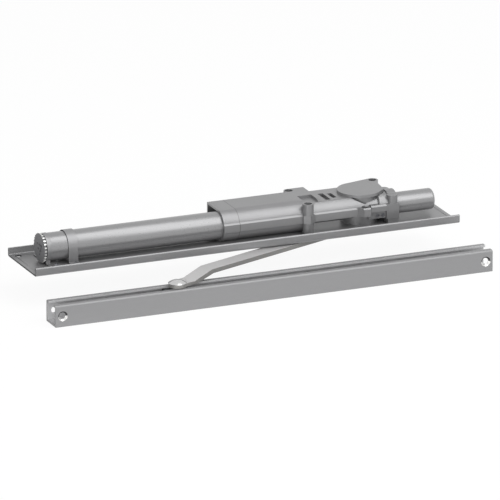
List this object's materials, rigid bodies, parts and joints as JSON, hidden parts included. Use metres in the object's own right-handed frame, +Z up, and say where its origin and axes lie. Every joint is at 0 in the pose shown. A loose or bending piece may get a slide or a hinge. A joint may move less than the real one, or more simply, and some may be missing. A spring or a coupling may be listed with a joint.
{
  "type": "concealed door closer",
  "caption": "Overhead door closer for a hollow header: spring tube, cast rack-and-pinion housing on a flanged plate, stepped arm and a sliding shoe in a track.",
  "frame": {"origin": "centre of the mounting plate's underside, midway between its four corner holes", "axes": "+X along the header from the spring dial to the end tube, +Y to the back of the header, +Z up; the arm and track are below the plate"},
  "size_m": [0.635, 0.1833, 0.0919],
  "materials": {
    "casting": "aluminium paint",
    "sheet": "aluminium paint",
    "track": "aluminium paint",
    "steel": "turned",
    "bearing": "ground",
    "rubber": "moulded",
    "nylon": "moulded"
  },
  "bodies": {
    "frame": {"mounting_plate": "sheet", "main_body": "casting", "pinion_cover": "casting", "cover_seal": "rubber", "spring_tube": "sheet", "tube_end_bracket": "sheet", "tube_strap": "sheet", "end_plug": "steel", "end_tube": "sheet", "clamp_bracket": "casting", "upper_bearing": "bearing", "lower_bearing": "bearing", "pinion_seal": "rubber", "body_screws": "steel", "foot_screws": "steel", "clamp_screws": "steel", "thrust_bearing": "bearing", "closer_spring": "steel"},
    "arm": {"pinion_shaft": "steel", "closer_arm": "sheet", "arm_screw": "steel", "arm_stud": "steel", "stud_clip": "steel"},
    "shoe": {"slide_shoe": "nylon"},
    "track": {"track_channel": "track"},
    "piston": {"piston_rack": "steel", "piston_seal": "rubber", "check_ball": "bearing", "spring_follower": "steel"},
    "dial": {"spring_dial": "steel", "dial_screw": "steel", "adjusting_screw": "steel"},
    "nut": {"adjusting_nut": "steel"},
    "sweep": {"sweep_valve": "steel"},
    "latch": {"latch_valve": "steel"}
  },
  "joints": [
    {"name": "arm_swing", "type": "hinge", "parent": "frame", "child": "arm", "pos_m": [0.1863, 0.01, 0], "axis": [0, 0, -1], "range_deg": [0, 125], "stiffness_Nm_per_rad": 8, "springref_deg": -114.59},
    {"name": "piston_slide", "type": "slide", "parent": "frame", "child": "piston", "axis": [-1, 0, 0], "range_m": [0, 0.022], "deforming": ["closer_spring"]},
    {"name": "shoe_pivot", "type": "hinge", "parent": "arm", "child": "shoe", "pos_m": [-0.13172, -0.11553, -0.025], "axis": [0, 0, 1], "range_deg": [-115, 115]},
    {"name": "track_slide", "type": "slide", "parent": "shoe", "child": "track", "axis": [1, 0, 0], "range_m": [-0.418, 0.146]},
    {"name": "dial_turn", "type": "hinge", "parent": "frame", "child": "dial", "pos_m": [-0.27, 0, 0.0232], "axis": [1, 0, 0], "range_deg": [0, 5760]},
    {"name": "nut_slide", "type": "slide", "parent": "frame", "child": "nut", "axis": [1, 0, 0], "range_m": [0, 0.04], "deforming": ["closer_spring"]},
    {"name": "sweep_valve_turn", "type": "hinge", "parent": "frame", "child": "sweep", "pos_m": [0.2007, -0.016, 0.0151], "axis": [0, 1, 0], "range_deg": [0, 720]},
    {"name": "latch_valve_turn", "type": "hinge", "parent": "frame", "child": "latch", "pos_m": [0.2086, -0.016, 0.0149], "axis": [0, 1, 0], "range_deg": [0, 720]}
  ],
  "couplings": [
    {"joint": "piston_slide", "follows": "arm_swing", "m_per_rad": 0.01},
    {"joint": "nut_slide", "follows": "dial_turn", "m_per_rad": 0.00039789}
  ]
}
